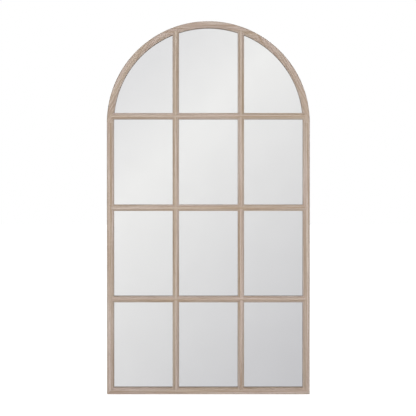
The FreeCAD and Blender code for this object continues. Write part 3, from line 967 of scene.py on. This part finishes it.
# %% D-rings
axes = {joint["child"]: Vector(joint["pos_m"]) for joint in frame["joints"]}
corner_radius = 2 * mm
wire_sides, corner_steps, bow_steps = 24, 8, 36
for name in ("left", "right"):
    low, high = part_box("d_ring_" + name)
    pivot = axes["ring_" + name]
    wire_radius = (high.y - low.y) / 2
    bow_radius = (high.x - low.x) / 2 - wire_radius
    bow_centre = Vector((pivot.x, pivot.y, low.z + wire_radius + bow_radius))
    bar_length = bow_radius - corner_radius
    leg = pivot.z - corner_radius - bow_centre.z
    right_corner = pivot + Vector((bar_length, 0, -corner_radius))
    left_corner = pivot + Vector((-bar_length, 0, -corner_radius))
    across = Matrix.Translation(pivot) @ Matrix.Rotation(math.radians(90), 4, "Y")
    bm = bmesh.new()
    bmesh.ops.create_circle(bm, segments=wire_sides, radius=wire_radius, matrix=across)
    end = push(bm, bm.edges[:], (bar_length, 0, 0))
    end = swing(bm, end, right_corner, (0, 1, 0), 90, corner_steps)
    end = push(bm, end, (0, 0, -leg))
    end = swing(bm, end, bow_centre, (0, 1, 0), 180, bow_steps)
    end = push(bm, end, (0, 0, leg))
    end = swing(bm, end, left_corner, (0, 1, 0), 90, corner_steps)
    push(bm, end, (bar_length, 0, 0))
    bmesh.ops.remove_doubles(bm, verts=bm.verts[:], dist=same_place)
    close(bm)
    ring = finished(bm, f"d_ring_{name}_wire", zinc)
    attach(ring, "ring_" + name)
    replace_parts(ring, "d_ring_" + name)
    print(ring.name, "wire", round(2 * wire_radius / mm, 2), "mm,", len(ring.data.polygons), "faces")

# %% [markdown]
# ## Straps
# A strap is stamped from steel strip, with a round end and a screw hole, and its other end is rolled
# round the ring's bar into an eye that stops just short of the plate. The sheet is drawn at the middle of
# its thickness: a half-round, a straight plate, and the plate's top edge spun round the ring's axis.
# Solidify gives the thickness, and a small bevel takes off the stamped edges.

# %% Straps
strip = 0.9 * mm
eye_middle_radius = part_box("hanger_strap_left")[1].y - axes["ring_left"].y - strip / 2
rise = 1.2 * mm  # over this height the plate steps back to meet the eye
eye_degrees, eye_steps, end_steps = 300, 30, 24
hole_radius, hole_sides = 1.8 * mm, 32
screw_places = []
for name in ("left", "right"):
    low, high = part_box("hanger_strap_" + name)
    pivot = axes["ring_" + name]
    half = (high.x - low.x) / 2
    screw_at = Vector((pivot.x, back + strip / 2, low.z + half))
    screw_places.append(screw_at)
    bm = bmesh.new()
    first = bm.verts.new(screw_at + Vector((half, 0, 0)))
    bmesh.ops.spin(
        bm, geom=[first], cent=screw_at, axis=(0, 1, 0), angle=math.pi, steps=end_steps,
        use_duplicate=False,
    )
    ends = [v for v in bm.verts if len(v.link_edges) == 1]
    bm.edges.new(ends)
    bmesh.ops.holes_fill(bm, edges=bm.edges[:], sides=0)
    top = [e for e in bm.edges if all(v in ends for v in e.verts)]
    top = push(bm, top, (0, 0, pivot.z - rise - screw_at.z))
    top = push(bm, top, (0, pivot.y - eye_middle_radius - screw_at.y, rise))
    swing(bm, top, pivot, (-1, 0, 0), eye_degrees, eye_steps)
    bmesh.ops.recalc_face_normals(bm, faces=bm.faces[:])
    strap = finished(bm, f"hanger_strap_{name}_strip", zinc)
    thicken = strap.modifiers.new("strip", "SOLIDIFY")
    thicken.thickness = strip
    thicken.offset = 0
    soften = strap.modifiers.new("stamped_edges", "BEVEL")
    soften.width = 0.12 * mm
    soften.segments = 2
    soften.limit_method = "ANGLE"
    bm = bmesh.new()
    upright = Matrix.Translation(screw_at) @ Matrix.Rotation(math.radians(90), 4, "X")
    bmesh.ops.create_cone(
        bm, cap_ends=True, segments=hole_sides, radius1=hole_radius, radius2=hole_radius, depth=3 * strip,
        matrix=upright,
    )
    hole = finished(bm, "screw_hole", zinc)
    cut(strap, [hole])
    discard([hole])
    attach(strap, "mirror")
    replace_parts(strap, "hanger_strap_" + name)
    print(strap.name, len(strap.data.polygons), "faces")

# %% [markdown]
# ## Screws and wall pads
# Both are turned shapes: the outline of one half is drawn in a plane through the axis and spun right
# round.

# %% Turned shapes
turn_steps = 48


def turned(name, corners, centre, material):
    """Spins an outline round an axis along Y. corners: (radius, y, rounding, steps)."""
    bm = bmesh.new()
    section(bm, corners, lambda radius, y: (centre.x + radius, y, centre.z))
    on_axis = [e for e in bm.edges if all(abs(v.co.x - centre.x) < same_place for v in e.verts)]
    bmesh.ops.delete(bm, geom=on_axis, context="EDGES")
    bmesh.ops.spin(
        bm, geom=bm.verts[:] + bm.edges[:], cent=centre, axis=(0, 1, 0), angle=math.tau, steps=turn_steps,
        use_merge=True, use_duplicate=False,
    )
    bmesh.ops.remove_doubles(bm, verts=bm.verts[:], dist=same_place)
    bmesh.ops.recalc_face_normals(bm, faces=bm.faces[:])
    return finished(bm, name, material)


print("turned shapes have", turn_steps, "sides")

# %% [markdown]
# The screw is a plain pointed shank under a pan head. A punch presses the cross recess into the head,
# narrower at its bottom so that it comes out again. Two tapered blocks cut it here.

# %% Screws
screw_low, screw_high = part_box("hanger_screws")
head_radius, shank_radius, point_length = 3.2 * mm, 1.5 * mm, 2.5 * mm
head_foot = back + strip
recess_length, recess_width, recess_depth = 3.6 * mm, 0.9 * mm, 1.1 * mm
taper = 0.6  # size of the recess at its bottom against its mouth
screw_corners = [
    (0, screw_low.y, 0, 0), (shank_radius, screw_low.y + point_length, 0, 0),
    (shank_radius, head_foot, 0, 0), (head_radius, head_foot, 0.15 * mm, 1),
    (head_radius, screw_high.y, 1.2 * mm, 6), (0, screw_high.y, 0, 0),
]
for screw_at, name in zip(screw_places, ("left", "right")):
    screw = turned(f"hanger_screw_{name}_pan_head", screw_corners, screw_at, zinc)
    recesses = []
    for wide, tall in ((recess_length, recess_width), (recess_width, recess_length)):
        bm = bmesh.new()
        bmesh.ops.create_cube(bm, size=1)
        bottom = [v for v in bm.verts if v.co.y < 0]
        bmesh.ops.scale(bm, verts=bottom, vec=(taper, 1, taper))
        bmesh.ops.scale(bm, verts=bm.verts[:], vec=(wide, 2 * recess_depth, tall))
        bmesh.ops.translate(bm, verts=bm.verts[:], vec=(screw_at.x, screw_high.y, screw_at.z))
        recesses.append(finished(bm, "recess", zinc))
    cut(screw, recesses)
    discard(recesses)
    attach(screw, "mirror")
    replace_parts(screw, "hanger_screws")
    print(screw.name, len(screw.data.polygons), "faces")

# %% [markdown]
# The pads are glued to the foot of the stiles and are as thick as the hangers, so that the mirror hangs
# plumb. They taper a little towards the wall, as a piece must to leave its mould, and end in a soft edge.

# %% Wall pads
pad_low, pad_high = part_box("wall_bumpers")
pad_radius = (pad_high.z - pad_low.z) / 2
draft, soft_edge = 0.25 * mm, 1 * mm
pad_corners = [
    (0, back, 0, 0), (pad_radius, back, 0.2 * mm, 2), (pad_radius - draft, pad_high.y, soft_edge, 5),
    (0, pad_high.y, 0, 0),
]
for side, name in ((-1, "left"), (1, "right")):
    centre = Vector((side * (pad_high.x - pad_radius), back, pad_low.z + pad_radius))
    pad = turned(f"wall_bumper_{name}_pad", pad_corners, centre, rubber)
    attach(pad, "mirror")
    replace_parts(pad, "wall_bumpers")
    print(pad.name, len(pad.data.polygons), "faces")

# %% [markdown]
# ## Last checks
# A piece that is printed or cut needs a closed skin: every edge borders two faces. This looks at each new
# piece as its modifiers leave it.

# %% Closed skins
depsgraph = bpy.context.evaluated_depsgraph_get()
for piece in bpy.context.scene.objects:
    if "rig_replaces" in piece or piece == silver:
        bm = bmesh.new()
        bm.from_object(piece, depsgraph)
        torn = sum(len(edge.link_faces) != 2 for edge in bm.edges)
        inside_out = bm.calc_volume(signed=True) < 0
        bm.free()
        if torn or inside_out:
            print(piece.name, "has", torn, "open edges; inside out:", inside_out)
print("skins looked at")

# %% [markdown]
# The sizes of the CAD model and of the visual model are written down side by side. The looks must not
# make the mirror larger.

# %% Sizes and finish
low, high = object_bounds()
print("grew by mm:", [round(v / mm, 3) for v in (*(low - cad_low), *(high - cad_high))])
